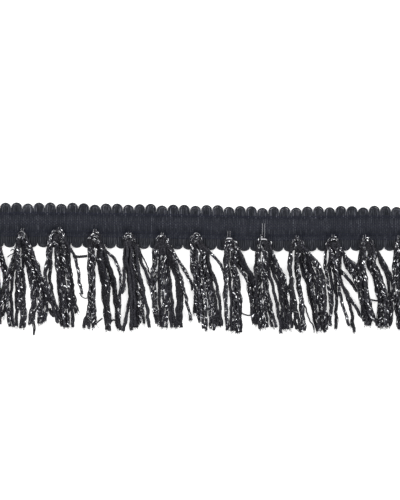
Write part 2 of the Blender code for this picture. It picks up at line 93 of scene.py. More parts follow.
class Wire:
    """A socket in a material, on which Python's operators add Math nodes."""

    def __init__(self, tree, socket=None):
        self.tree = tree
        self.socket = socket

    def node(self, kind, settings=None, sockets=None, output=0):
        """New node: its settings first, then its sockets, each a number, a colour or a Wire."""
        made = self.tree.nodes.new(kind)
        for name, value in (settings or {}).items():
            setattr(made, name, value)
        for name, value in (sockets or {}).items():
            if isinstance(value, Wire):
                self.tree.links.new(value.socket, made.inputs[name])
            else:
                made.inputs[name].default_value = value
        return Wire(self.tree, made.outputs[output])

    def math(self, operation, *values):
        return self.node("ShaderNodeMath", {"operation": operation}, dict(enumerate(values)))

    def __add__(self, other):
        return self.math("ADD", self, other)

    def __sub__(self, other):
        return self.math("SUBTRACT", self, other)

    def __mul__(self, other):
        return self.math("MULTIPLY", self, other)

    def __rsub__(self, other):
        return self.math("SUBTRACT", other, self)

    __radd__ = __add__
    __rmul__ = __mul__

    def attribute(self, name):
        """Value that the piece's vertices carry under a name."""
        return self.node("ShaderNodeAttribute", {"attribute_name": name}, output=2)

    def mix(self, first, second):
        """Colour between two, by this mask."""
        return self.node("ShaderNodeMix", {"data_type": "RGBA"}, {0: self, 6: first, 7: second},
                         output=2)

    def noise(self, scale, detail=2.0, place=None):
        """Noise on the piece's own coordinates, at so many cells a metre."""
        place = place or self.node("ShaderNodeTexCoord", output=3)
        return self.node("ShaderNodeTexNoise", None,
                         {"Vector": place, "Scale": scale, "Detail": detail})

    def bump(self, height, strength, depth):
        return self.node("ShaderNodeBump", None,
                         {"Strength": strength, "Distance": depth, "Height": height})


def principled(name, varying, constants):
    """Material whose varying inputs come from a function of its Wire, the rest being constants."""
    material = bpy.data.materials.new(name)
    material.use_nodes = True
    tree = material.node_tree
    shader = tree.nodes["Principled BSDF"]
    for socket, value in constants.items():
        shader.inputs[socket].default_value = value
    for socket, wire in varying(Wire(tree)).items():
        tree.links.new(wire.socket, shader.inputs[socket])
    return material


def object_of(name, bm, material):
    """New object of a bmesh, in one material."""
    mesh = bpy.data.meshes.new(name)
    bm.to_mesh(mesh)
    bm.free()
    mesh.materials.append(material)
    piece = bpy.data.objects.new(name, mesh)
    bpy.context.scene.collection.objects.link(piece)
    return piece


def curve_through(places, values, at):
    """Value at one place of the smooth curve through a short row of points."""
    places = np.asarray(places, float)
    values = np.asarray(values, float)
    slopes = np.gradient(values, places)
    index = int(np.clip(np.searchsorted(places, at) - 1, 0, len(places) - 2))
    span = places[index + 1] - places[index]
    t = float(np.clip((at - places[index]) / span, 0.0, 1.0))
    start = (1 + 2 * t) * (1 - t) ** 2 * values[index] + t * (1 - t) ** 2 * span * slopes[index]
    end = t * t * (3 - 2 * t) * values[index + 1] - t * t * (1 - t) * span * slopes[index + 1]
    return float(start + end)


def rise_at(x):
    """How far the trim's line stands above its lowest stretch, at a place along it."""
    return curve_through([row.along for row in LIE], [row.rise for row in LIE], x / MM) * MM


def scallop_depth(x, phase, depth):
    """How far a scalloped edge is drawn in: nothing at a scallop's middle, all at a notch."""
    turn = ((x - phase) / SCALLOP) % 1.0
    return depth * (2.0 * abs(turn - 0.5)) ** SCALLOP_POWER


def scallop_drop(number):
    """How much lower the middle scallop of each repeat stands than its neighbours."""
    return LOW_SCALLOP_DROP if number % SCALLOPS_PER_REPEAT == 1 else 0.0


def upper_edge(x):
    """Height of the heading's upper edge line."""
    drop = scallop_drop(round((x + HEADING_LENGTH / 2) / SCALLOP - 0.5))
    return HEADING_HEIGHT - drop - scallop_depth(x, -HEADING_LENGTH / 2, UPPER_DEPTH)


def lower_edge(x):
    """Height of the heading's lower edge line."""
    return scallop_depth(x, LOWER_PHASE - HEADING_LENGTH / 2, LOWER_DEPTH)


def ground_look(wire):
    """Matt black, a little browner and paler in patches, with the nap of spun yarn."""
    patches = wire.noise(60.0, 3.0)
    nap = wire.noise(2600.0)
    colour = patches.mix((0.010, 0.011, 0.014, 1.0), (0.020, 0.021, 0.025, 1.0))
    return {"Base Color": colour, "Roughness": 0.8 + 0.2 * patches,
            "Normal": wire.bump(nap, 0.5, 0.10 * MM)}


def make_ground():
    columns = REPEATS * SCALLOPS_PER_REPEAT * GROUND_COLUMNS
    bm = bmesh.new()
    bmesh.ops.create_grid(bm, x_segments=columns, y_segments=GROUND_ROWS, size=0.5)
    for vert in bm.verts:
        x = vert.co.x * (HEADING_LENGTH - GROUND_END_ROOM)
        top = upper_edge(x) - GROUND_INSET
        bottom = lower_edge(x) + GROUND_INSET
        vert.co = Vector((x, LINE_Y + rise_at(x) + bottom + (top - bottom) * (vert.co.y + 0.5),
                          GROUND_TOP))
    bmesh.ops.solidify(bm, geom=bm.faces[:], thickness=GROUND_TOP - GROUND_LOW)
    bmesh.ops.recalc_face_normals(bm, faces=bm.faces)
    material = principled("ground_weave", ground_look, {"Specular IOR Level": 0.2})
    return object_of("heading_ground", bm, material)


ground = make_ground()
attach(ground, "root")
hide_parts("heading")

# Heading weft
# The gimp cord that runs up and down the braid and turns back in nested loops, three to each
# scallop on both edges: a soft core wrapped with satin thread.
LOOPS_PER_SCALLOP = 3
LEG_PITCH = SCALLOP / (2 * LOOPS_PER_SCALLOP)
WEFT_RADIUS = 0.34 * MM
WEFT_Z = 0.72 * MM
UPPER_LOOPS_FROM = 13.1 * MM
LOWER_LOOPS_TO = 6.0 * MM
LOOP_STEPS = 10
UPPER_ROUND = 0.92
LOWER_ROUND = 0.62
NEST_STEP = 0.93
# Strength of the painted sheen streaks on each upper loop, inner to outer, on the lower loops and
# on the legs; jittered at random, then grouped in levels.
LOOP_SHEENS = (0.22, 0.68, 0.45)
LOWER_LOOP_SHEEN = 0.14
LEG_SHEEN = 0.20
SHEEN_CHANCE = 0.12
SHEEN_LEVELS = 12
TIP_SHADE = 2.4 * MM
LOOP_EXTRA = 0.12 * MM
LOOP_SWAY = 0.05
SCALLOP_SWAY = 0.12
LOWER_NEST = 0.8
LEG_OVERLAP = 0.4 * MM
CUT_LEG_FROM = 1.0 * MM
RISE_SAMPLES = 10 * REPEATS


def profile_curve(name, sides, radius, lobes=0, lobe_depth=0.0):
    """Closed outline of a yarn's section, for a curve's bevel."""
    outline = bpy.data.curves.new(name, "CURVE")
    outline.dimensions = "2D"
    spline = outline.splines.new("POLY")
    spline.points.add(sides - 1)
    for index, point in enumerate(spline.points):
        turn = -2 * math.pi * index / sides
        reach = radius * (1.0 + lobe_depth * math.cos(lobes * turn))
        point.co = (reach * math.cos(turn), reach * math.sin(turn), 0.0, 1.0)
    spline.use_cyclic_u = True
    piece = bpy.data.objects.new(name, outline)
    bpy.context.scene.collection.objects.link(piece)
    return piece


def tubes(routes, profile, smooth=True):
    """Welded bmesh of yarns: each route is its points, their radii and their twists."""
    curve = bpy.data.curves.new("yarn", "CURVE")
    curve.dimensions = "3D"
    curve.bevel_mode = "OBJECT"
    curve.bevel_object = profile
    curve.use_fill_caps = True
    for points, radii, twists in routes:
        spline = curve.splines.new("POLY")
        spline.points.add(len(points) - 1)
        spline.points.foreach_set("co", np.c_[points, np.ones(len(points))].ravel())
        spline.points.foreach_set("radius", np.broadcast_to(radii, len(points)).copy())
        spline.points.foreach_set("tilt", np.broadcast_to(twists, len(points)).copy())
        spline.use_smooth = smooth
    holder = bpy.data.objects.new("yarn", curve)
    bpy.context.scene.collection.objects.link(holder)
    graph = bpy.context.evaluated_depsgraph_get()
    mesh = bpy.data.meshes.new_from_object(holder.evaluated_get(graph))
    bpy.data.objects.remove(holder)
    bpy.data.curves.remove(curve)
    bm = bmesh.new()
    bm.from_mesh(mesh)
    bpy.data.meshes.remove(mesh)
    bmesh.ops.remove_doubles(bm, verts=bm.verts, dist=0.001 * MM)
    for face in bm.faces:
        face.smooth = smooth and len(face.verts) <= 4
    return bm


def add_yarns(bm, yarns, **values):
    """Join yarns to a piece, each value going to the vertex attribute of its name."""
    mesh = bpy.data.meshes.new("joined")
    yarns.to_mesh(mesh)
    yarns.free()
    before = len(bm.verts)
    bm.from_mesh(mesh)
    bpy.data.meshes.remove(mesh)
    bm.verts.ensure_lookup_table()
    for name, value in values.items():
        layer = bm.verts.layers.float[name]
        for vert in bm.verts[before:]:
            vert[layer] = value


def finished(name, bm, material):
    """Object of a finished bmesh, riding on the trim."""
    bmesh.ops.recalc_face_normals(bm, faces=bm.faces)
    piece = object_of(name, bm, material)
    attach(piece, "root")
    return piece


def loop_route(middle, half_width, tip, start, roundness, chance):
    """One loop of weft: along its leg, round the turn and back, downwards if tip < start."""
    way = 1.0 if tip > start else -1.0
    tall = half_width * roundness + LOOP_EXTRA
    lift = chance.uniform(-LOOP_SWAY, LOOP_SWAY) * MM
    lean = chance.uniform(-LOOP_SWAY, LOOP_SWAY) * MM
    flat = [(middle - half_width, start)]
    for step in range(LOOP_STEPS + 1):
        turn = math.pi * (1.0 - step / LOOP_STEPS)
        flat.append((middle + half_width * math.cos(turn) + lean * math.sin(turn),
                     tip - way * tall * (1.0 - math.sin(turn))))
    flat.append((middle + half_width, start))
    return np.array([(x, LINE_Y + rise_at(x) + y, WEFT_Z + lift) for x, y in flat])


def gimp_look(wire):
    """Black satin thread wrapped round a core, with painted sheen: pale streaks painted into its
    colour stand for the light that some turns catch more than others.
    """
    tone = wire.attribute("tone")
    place = wire.node("ShaderNodeTexCoord", output=3)
    drawn = wire.node("ShaderNodeMapping", None, {"Vector": place, "Scale": (1.0, 0.2, 1.0)})
    streaks = wire.noise(2400.0, 1.0, drawn)
    wrap = wire.noise(4200.0)
    # Painted sheen: how much of the pale streak colour each place gets, scaled by its attribute.
    light = tone * (streaks - 0.40) * 3.6
    colour = light.mix((0.005, 0.007, 0.013, 1.0), (0.150, 0.155, 0.185, 1.0))
    return {"Base Color": colour, "Roughness": 0.45 + 0.2 * wrap,
            "Normal": wire.bump(wrap, 0.6, 0.08 * MM)}


gimp_material = principled("gimp_satin", gimp_look, {"Specular IOR Level": 0.4})
weft_profile = profile_curve("weft_profile", 6, WEFT_RADIUS)


def shade_tips(mesh):
    """Darken the loops towards their tips, where the yarn turns down out of the light."""
    spots = np.empty(3 * len(mesh.vertices))
    tones = np.empty(len(mesh.vertices))
    mesh.vertices.foreach_get("co", spots)
    mesh.attributes["tone"].data.foreach_get("value", tones)
    x, y = spots[0::3], spots[1::3]
    places = np.linspace(-HEADING_LENGTH / 2, HEADING_LENGTH / 2, RISE_SAMPLES)
    height = y - LINE_Y - np.interp(x, places, [rise_at(place) for place in places])
    tones *= np.clip((HEADING_HEIGHT - height) / TIP_SHADE, 0.0, 1.0)
    mesh.attributes["tone"].data.foreach_set("value", tones)


def make_weft():
    chance = random.Random(41)
    groups = {}

    def add(points, tone):
        level = round((tone + chance.uniform(-SHEEN_CHANCE, SHEEN_CHANCE)) * SHEEN_LEVELS)
        groups.setdefault(max(level, 0), []).append((points, 1.0, 0.0))

    count = REPEATS * SCALLOPS_PER_REPEAT
    for scallop in range(count):
        upper_middle = -HEADING_LENGTH / 2 + (scallop + 0.5) * SCALLOP
        lower_middle = upper_middle + LOWER_PHASE
        size = chance.uniform(-SCALLOP_SWAY, SCALLOP_SWAY) * MM
        top = HEADING_HEIGHT - scallop_drop(scallop) + size
        for loop in range(LOOPS_PER_SCALLOP):
            half_width = (loop + 0.5) * LEG_PITCH
            inner = (LOOPS_PER_SCALLOP - 0.5) * LEG_PITCH - half_width
            tip = top - WEFT_RADIUS - inner * NEST_STEP
            add(loop_route(upper_middle, half_width, tip, UPPER_LOOPS_FROM, UPPER_ROUND, chance),
                LOOP_SHEENS[loop])
            tip = WEFT_RADIUS + inner * NEST_STEP * LOWER_NEST
            if lower_middle + half_width < HEADING_LENGTH / 2:
                add(loop_route(lower_middle, half_width, tip, LOWER_LOOPS_TO, LOWER_ROUND, chance),
                    LOWER_LOOP_SHEEN)
    for leg in range(2 * LOOPS_PER_SCALLOP * count):
        x = -HEADING_LENGTH / 2 + (leg + 0.5) * LEG_PITCH
        y = LINE_Y + rise_at(x)
        cut = x < -HEADING_LENGTH / 2 + LOWER_PHASE
        bottom = CUT_LEG_FROM if cut else LOWER_LOOPS_TO - LEG_OVERLAP
        add(np.array([(x, y + bottom, WEFT_Z), (x, y + UPPER_LOOPS_FROM, WEFT_Z)]), LEG_SHEEN)
    # Yarns go in groups by the strength of their painted sheen, which an attribute carries to the
    # material.
    bm = bmesh.new()
    bm.verts.layers.float.new("tone")
    for level, routes in sorted(groups.items()):
        add_yarns(bm, tubes(routes, weft_profile), tone=level / SHEEN_LEVELS)
    piece = finished("heading_weft", bm, gimp_material)
    shade_tips(piece.data)
    return piece


weft = make_weft()

# Heading warp
# The threads that run along the braid, over and under the weft's legs, in bands: two chain rows
# under the loops, fine threads beaten down, fuller ones, and a last row over the lower loops.
Band = namedtuple("Band", "start count pitch radius swing lift")
WARP_BANDS = [
    Band(4.7, 1, 0.0, 0.24, 0.20, 0.20),
    Band(5.35, 4, 0.55, 0.22, 0.20, 0.08),
    Band(7.75, 3, 0.48, 0.19, 0.18, 0.02),
    Band(9.25, 4, 0.55, 0.22, 0.20, 0.10),
    Band(11.5, 4, 0.46, 0.19, 0.18, 0.02),
    Band(13.45, 2, 0.54, 0.26, 0.22, 0.14),
]
WARP_SAMPLES = 2
WARP_PHASE = 6.0

# A slow wave along a yarn: its height, and the length over which it turns by one radian.
Wave = namedtuple("Wave", "height length")
WARP_DRIFT = Wave(0.05, 3.1)


def wave_at(wave, run, phase=0.0):
    return wave.height * np.sin(run / (wave.length * MM) + phase)


def warp_look(wire):
    """Matt black spun thread, a little lighter where it rides over a leg."""
    patches = wire.noise(70.0, 3.0)
    nap = wire.noise(5200.0)
    colour = patches.mix((0.010, 0.012, 0.024, 1.0), (0.016, 0.018, 0.033, 1.0))
    return {"Base Color": colour, "Roughness": 0.62 + 0.25 * nap,
            "Normal": wire.bump(nap, 0.5, 0.06 * MM)}


def make_warp():
    chance = random.Random(57)
    legs = 2 * LOOPS_PER_SCALLOP * REPEATS * SCALLOPS_PER_REPEAT
    profile = profile_curve("warp_profile", 4, MM)
    routes = []
    row = 0
    for band in WARP_BANDS:
        for number in range(band.count):
            y = (band.start + number * band.pitch) * MM
            phase = chance.uniform(0.0, WARP_PHASE)
            points = []
            for sample in range(legs * WARP_SAMPLES + 1):
                leg = sample / WARP_SAMPLES
                x = -HEADING_LENGTH / 2 + leg * LEG_PITCH
                over = math.cos(math.pi * (leg - 0.5 + row)) * band.swing
                drift = wave_at(WARP_DRIFT, x, phase)
                points.append((x, LINE_Y + rise_at(x) + y + drift * MM,
                               WEFT_Z + (over + band.lift) * MM))
            routes.append((np.array(points), band.radius, 0.0))
            row += 1
    material = principled("warp_thread", warp_look, {"Specular IOR Level": 0.3})
    return finished("heading_warp", tubes(routes, profile), material)


warp = make_warp()

# Bunches
# Cords folded over the lower part of the heading, their ends cut: plain satin cord, cord plied
# with silver filament, and a few thin threads. Each lies on the table or on the cords below it.
GAP = 0.3 * MM
STRAND_GAP = 0.18 * MM
HEADING_TOP = 1.6 * MM
HEAD_PITCH = 1.5 * MM
HEAD_COLUMNS = 4
SLOT_SHIFT = 0.45 * MM
EXIT_DEPTH = 0.6 * MM
STRAND_STATIONS = (5.0, 11.0, 19.0)
LOCK_STATIONS = (6.0, 14.0, 24.0)
TIP_ROOM = 2.5
LOCK_WANDER = 0.2
STRAND_WANDER = 0.08
TIP_WANDER = 0.8
CELL = 0.1 * MM
CELL_STEP = 0.7 * CELL
SETTLE_ROUNDS = 60
SETTLE_ERROR = 0.01 * MM
GRID_HALF_LENGTH = 96.0 * MM
GRID_LOW = -40.0 * MM
GRID_HIGH = 24.0 * MM

Yarn = namedtuple("Yarn", "width height")
YARNS = {
    "black": Yarn(1.05, 0.80),
    "silver": Yarn(1.15, 0.85),
    "thread": Yarn(0.60, 0.50),
}

# A lock is a few like strands: their fan is the distance between the outer two. x6, x14 and x24
# are its places that far below the heading, from the bunch's middle; tip is its end's place,
# drop its end's distance below the heading.
Lock = namedtuple("Lock", "yarn strands fan x6 x14 x24 tip drop")
Bunch = namedtuple("Bunch", "shift top locks")

BUNCHES = [
    Bunch(-2.6, 7.0, [
        Lock("black", 3, 2.8, 0.0, 0.2, 0.4, 0.4, 31.2),
        Lock("black", 2, 1.6, 3.0, 3.8, 4.0, 3.8, 31.0),
        Lock("silver", 2, 1.6, -1.4, -1.4, -1.2, -1.0, 30.8),
        Lock("black", 2, 1.5, 6.4, 6.8, 6.0, 5.6, 28.2),
        Lock("silver", 1, 0.0, 5.4, 6.8, 5.8, 5.6, 22.4),
        Lock("silver", 1, 0.0, 1.4, 2.0, 2.4, 2.4, 30.4),
    ]),
    Bunch(-2.1, 7.2, [
        Lock("black", 2, 1.5, 4.6, 7.2, 9.8, 8.6, 29.6),
        Lock("black", 2, 1.5, -3.2, -5.5, -4.9, -4.4, 31.6),
        Lock("black", 2, 1.5, -0.5, -0.1, 0.2, 0.4, 31.6),
        Lock("black", 1, 0.0, -1.9, -2.6, -2.6, -2.2, 31.4),
        Lock("black", 2, 1.5, 1.9, 3.8, 4.5, 3.4, 30.2),
        Lock("silver", 2, 1.6, 4.0, 6.2, 7.3, 6.9, 30.4),
        Lock("silver", 1, 0.0, 5.1, 7.9, 10.7, 10.9, 21.8),
        Lock("silver", 1, 0.0, -4.2, -6.1, -5.8, -5.4, 31.0),
        Lock("silver", 1, 0.0, -1.6, -1.3, -1.4, -1.4, 23.6),
    ]),
    Bunch(-0.6, 7.6, [
        Lock("black", 3, 2.8, -0.2, 0.8, 1.5, 1.9, 31.8),
        Lock("black", 2, 1.5, -4.6, -4.5, -1.9, 0.0, 30.0),
        Lock("black", 1, 0.0, 3.8, 4.4, 6.3, 6.5, 26.2),
        Lock("black", 1, 0.0, 2.7, 4.0, 4.9, 5.2, 31.4),
        Lock("silver", 1, 0.0, -5.5, -5.6, -3.2, -2.7, 21.2),
        Lock("silver", 1, 0.0, 7.0, 7.6, 8.6, 8.6, 19.2),
        Lock("thread", 1, 0.0, 4.2, 5.0, 7.6, 7.6, 26.0),
        Lock("silver", 1, 0.0, 2.0, 3.6, 3.5, 3.2, 30.6),
        Lock("silver", 1, 0.0, -0.6, 0.6, 1.4, 1.9, 31.0),
    ]),
    Bunch(0.1, 7.2, [
        Lock("black", 2, 1.5, -1.7, -1.5, -1.6, -3.8, 31.4),
        Lock("black", 3, 2.0, 2.3, 3.5, 4.5, 5.2, 32.2),
        Lock("black", 2, 1.2, 4.9, 7.2, 8.8, 9.3, 32.2),
        Lock("silver", 1, 0.0, 9.2, 10.0, 9.8, 9.7, 28.6),
        Lock("black", 1, 0.0, 3.2, 5.5, 5.4, 5.3, 22.4),
        Lock("silver", 1, 0.0, -0.3, -0.2, 0.0, 0.1, 30.6),
        Lock("silver", 2, 1.6, -1.4, -1.3, -1.5, -1.8, 31.4),
    ]),
    Bunch(0.6, 6.2, [
        Lock("black", 3, 2.8, 0.9, 1.4, 1.7, 1.6, 31.8),
        Lock("black", 1, 0.0, -1.7, -0.3, -0.5, -2.7, 32.2),
        Lock("silver", 2, 1.6, 2.0, 3.4, 4.3, 4.6, 30.2),
        Lock("black", 1, 0.0, 3.2, 4.9, 7.2, 8.0, 31.6),
        Lock("black", 1, 0.0, 5.0, 8.4, 8.6, 8.6, 16.4),
        Lock("thread", 1, 0.0, 6.6, 9.4, 9.6, 9.6, 14.0),
        Lock("black", 1, 0.0, -2.4, -2.2, -3.1, -3.1, 17.4),
        Lock("black", 2, 1.5, 0.0, 0.9, 1.2, 1.2, 31.0),
    ]),
    Bunch(0.2, 6.2, [
        Lock("black", 2, 1.5, 1.5, 2.2, 3.5, 4.5, 31.4),
        Lock("black", 3, 1.9, 4.4, 6.7, 6.7, 6.5, 30.4),
        Lock("silver", 1, 0.0, 5.6, 8.1, 10.3, 11.5, 28.0),
        Lock("silver", 1, 0.0, 7.4, 11.5, 12.2, 12.2, 15.6),
        Lock("black", 1, 0.0, -1.0, -1.4, -0.7, -0.4, 30.4),
        Lock("silver", 2, 1.6, 0.4, 0.6, 1.3, 1.2, 31.4),
        Lock("silver", 2, 1.5, -3.3, -3.7, -2.9, -1.8, 29.8),
    ]),
    Bunch(0.5, 6.2, [
        Lock("black", 2, 1.5, -1.4, 0.3, -0.3, -0.3, 26.0),
        Lock("black", 2, 1.5, 3.6, 5.6, 7.4, 8.0, 30.0),
        Lock("black", 1, 0.0, 5.2, 7.9, 9.4, 9.9, 30.0),
        Lock("silver", 1, 0.0, 9.9, 11.2, 11.2, 11.2, 9.4),
        Lock("silver", 2, 1.5, 2.6, 4.4, 5.8, 6.3, 32.0),
        Lock("silver", 2, 1.5, 0.8, 2.2, 2.9, 3.2, 31.4),
        Lock("silver", 2, 1.6, -0.9, 0.4, 0.6, 1.9, 29.6),
    ]),
    Bunch(0.0, 6.2, [
        Lock("black", 3, 2.8, 6.1, 9.0, 10.1, 10.8, 29.0),
        Lock("black", 1, 0.0, -1.8, -1.5, -1.2, -0.4, 31.5),
        Lock("black", 1, 0.0, -0.3, 0.3, 1.2, 0.9, 31.3),
        Lock("black", 2, 1.5, 2.0, 3.4, 3.9, 3.9, 32.3),
        Lock("silver", 1, 0.0, 1.3, 1.7, 2.3, 2.4, 31.3),
        Lock("silver", 1, 0.0, 3.6, 8.4, 9.2, 9.6, 27.0),
        Lock("silver", 1, 0.0, 2.6, 3.0, 3.8, 3.6, 31.7),
        Lock("silver", 1, 0.0, -1.0, -0.9, -1.2, -0.6, 31.0),
    ]),
    Bunch(0.4, 6.2, [
        Lock("black", 3, 2.8, 4.3, 7.2, 8.7, 8.5, 31.0),
        Lock("black", 1, 0.0, 1.6, 3.6, 6.0, 7.2, 32.2),
        Lock("black", 2, 1.5, -2.5, -2.2, -1.4, -0.6, 30.4),
        Lock("silver", 1, 0.0, 5.9, 9.3, 9.8, 9.8, 17.6),
        Lock("silver", 1, 0.0, 0.4, 0.7, 2.5, 3.6, 30.8),
        Lock("silver", 1, 0.0, 1.0, 1.3, 3.6, 4.8, 30.6),
        Lock("silver", 2, 1.6, -1.2, -0.8, 0.2, 1.0, 30.4),
    ]),
    Bunch(0.5, 6.0, [
        Lock("black", 1, 0.0, -3.2, -2.6, -2.9, -2.3, 30.4),
        Lock("black", 1, 0.0, -3.0, -2.4, -1.7, -0.6, 31.2),
        Lock("black", 1, 0.0, -2.8, -2.2, -0.5, 1.2, 31.8),
        Lock("black", 2, 1.5, 2.6, 4.9, 7.1, 8.4, 31.8),
        Lock("black", 2, 1.5, 5.2, 8.0, 9.6, 10.4, 31.6),
        Lock("black", 1, 0.0, 9.4, 10.6, 11.2, 11.6, 29.6),
        Lock("silver", 2, 1.6, 8.1, 9.5, 10.5, 10.9, 31.4),
        Lock("thread", 1, 0.0, 0.8, 1.4, 3.4, 6.7, 30.6),
        Lock("silver", 2, 0.9, -0.2, 0.4, 2.1, 2.2, 31.4),
        Lock("silver", 1, 0.0, 3.8, 6.0, 7.4, 8.9, 31.4),
    ]),
    Bunch(1.4, 5.8, [
        Lock("black", 2, 1.5, 8.1, 11.9, 13.3, 13.8, 29.4),
        Lock("black", 1, 0.0, 0.2, 0.9, 1.5, 0.9, 31.0),
        Lock("black", 1, 0.0, 2.4, 3.6, 8.5, 8.7, 32.2),
        Lock("black", 1, 0.0, 2.8, 2.8, 11.0, 13.6, 29.2),
        Lock("black", 1, 0.0, 2.2, 8.8, 9.8, 9.8, 15.4),
        Lock("silver", 2, 1.6, 6.4, 10.3, 12.2, 12.6, 27.6),
        Lock("silver", 1, 0.0, 1.4, 2.3, 4.7, 6.7, 30.4),
        Lock("black", 1, 0.0, -1.5, -0.4, -0.6, -1.2, 27.4),
        Lock("silver", 1, 0.0, 0.9, 2.1, 2.8, 2.8, 18.4),
        Lock("silver", 1, 0.0, -3.1, -1.8, -1.0, -1.5, 29.4),
    ]),
    Bunch(0.5, 5.8, [
        Lock("black", 2, 1.5, 8.2, 10.4, 10.0, 9.9, 30.2),
        Lock("black", 2, 1.5, -1.5, -0.9, 0.6, 1.6, 29.0),
        Lock("black", 2, 1.5, 2.4, 5.2, 6.7, 6.5, 30.4),
        Lock("black", 1, 0.0, 4.5, 7.4, 8.4, 8.4, 30.4),
        Lock("silver", 1, 0.0, 4.6, 7.6, 9.0, 9.0, 30.0),
        Lock("black", 1, 0.0, 0.0, 0.4, 2.6, 4.8, 30.4),
        Lock("silver", 2, 1.6, 3.4, 6.3, 7.5, 7.4, 30.2),
        Lock("silver", 1, 0.0, -0.4, -0.2, 1.7, 3.2, 28.0),
    ]),
    Bunch(0.9, 5.4, [
        Lock("black", 3, 3.0, 0.2, 0.8, 1.0, 1.0, 31.0),
        Lock("black", 2, 1.6, 3.4, 3.9, 4.0, 3.8, 30.8),
        Lock("silver", 2, 1.7, 1.6, 2.4, 2.8, 3.0, 31.0),
        Lock("silver", 2, 1.7, -1.4, -1.1, -0.5, 0.4, 29.0),
    ]),
]


class Pile:
    """Height of the top of what lies there so far, cell by cell."""

    def __init__(self):
        columns = int(2 * GRID_HALF_LENGTH / CELL)
        rows = int((GRID_HIGH - GRID_LOW) / CELL)
        self.top = np.full((columns, rows), -STRAND_GAP)
        for column in range(columns):
            x = column * CELL - GRID_HALF_LENGTH
            if abs(x) < HEADING_LENGTH / 2 + CELL:
                edge = lower_edge(x) + rise_at(x) - GAP
                self.top[column, int((edge - GRID_LOW) / CELL):] = HEADING_TOP + GAP - STRAND_GAP

    def cells(self, route, half_width):
        """Place along the route and grid cells of a band about it."""
        bands = []
        across = np.arange(-half_width, half_width + CELL / 2, CELL_STEP)
        for index in range(len(route) - 1):
            start, end = np.array(route[index]), np.array(route[index + 1])
            length = float(np.hypot(*(end - start)))
            side = np.array([start[1] - end[1], end[0] - start[0]]) / length
            along = np.linspace(0.0, 1.0, max(2, int(length / CELL_STEP)))
            x = start[0] + np.outer(along, [end[0] - start[0]]) + across * side[0]
            y = start[1] + np.outer(along, [end[1] - start[1]]) + across * side[1]
            columns = np.clip(((x + GRID_HALF_LENGTH) / CELL).astype(int), 0, self.top.shape[0] - 1)
            rows = np.clip(((y - GRID_LOW) / CELL).astype(int), 0, self.top.shape[1] - 1)
            bands.append((along, columns, rows))
        return bands

    def settle(self, route, width):
        """Lowest heights of a strand's stations at which it clears all that lies there."""
        heights = np.zeros(len(route))
        bands = self.cells(route, width / 2 + STRAND_GAP)
        for _ in range(SETTLE_ROUNDS):
            worst = 0.0
            for index, (along, columns, rows) in enumerate(bands):
                need = self.top[columns, rows].max(axis=1) + STRAND_GAP
                here = heights[index] * (1 - along) + heights[index + 1] * along
                lack = need - here
                spot = int(lack.argmax())
                if lack[spot] > 0.0:
                    t = along[spot]
                    share = lack[spot] / ((1 - t) ** 2 + t ** 2)
                    heights[index] += share * (1 - t)
                    heights[index + 1] += share * t
                    worst = max(worst, lack[spot])
            if worst < SETTLE_ERROR:
                break
        return heights

    def lay(self, route, heights, width, thickness):
        """Add a strand to the pile."""
        for index, (along, columns, rows) in enumerate(self.cells(route, width / 2)):
            top = (heights[index] * (1 - along) + heights[index + 1] * along + thickness)[:, None]
            self.top[columns, rows] = np.maximum(self.top[columns, rows], top)


def bunch_middle(number, bunch):
    """Place along the trim of the middle of a bunch's fold."""
    return -HEADING_LENGTH / 2 + (number - 0.5) * REPEAT + bunch.shift * MM


def bunch_strands(bunch, chance):
    """Every strand of a bunch, from the lowest up: its yarn and its places below the heading."""
    strands = []
    for lock in bunch.locks:
        bends = [chance.uniform(-LOCK_WANDER, LOCK_WANDER) for _ in range(4)]
        for number in range(lock.strands):
            share = number / (lock.strands - 1) - 0.5 if lock.strands > 1 else 0.0
            stray = [bend + chance.uniform(-STRAND_WANDER, STRAND_WANDER) for bend in bends]
            drop = lock.drop + chance.uniform(-TIP_WANDER, TIP_WANDER)
            places = list(zip(LOCK_STATIONS, (lock.x6, lock.x14, lock.x24)))
            places = [place for place in places if place[0] < drop - TIP_ROOM] + [(drop, lock.tip)]
            points = [(depth, x + share * lock.fan + extra)
                      for (depth, x), extra in zip(places, stray)]
            strands.append((lock.yarn, points))
    return strands


def head_order(strands):
    """Rank of each strand across the head: in order of where the strands go."""
    order = sorted(range(len(strands)), key=lambda number: strands[number][1][0][1])
    return {number: rank for rank, number in enumerate(order)}


def head_slot(rank, count):
    """Place across the head of the strand of one rank."""
    column = int(rank * HEAD_COLUMNS / count)
    within = rank * HEAD_COLUMNS / count - column - 0.5
    return (column - (HEAD_COLUMNS - 1) / 2) * HEAD_PITCH + within * SLOT_SHIFT


def free_route(points, slot, middle, edge):
    """Plan of one strand where it lies free, below the heading."""
    route = []
    depths = [EXIT_DEPTH / MM] + [point[0] for point in points]
    places = [slot / MM] + [point[1] for point in points]
    drop = depths[-1]
    for depth in [station for station in STRAND_STATIONS if station < drop - TIP_ROOM] + [drop]:
        x = curve_through(depths, places, depth)
        route.append((middle + x * MM, edge - depth * MM))
    return route


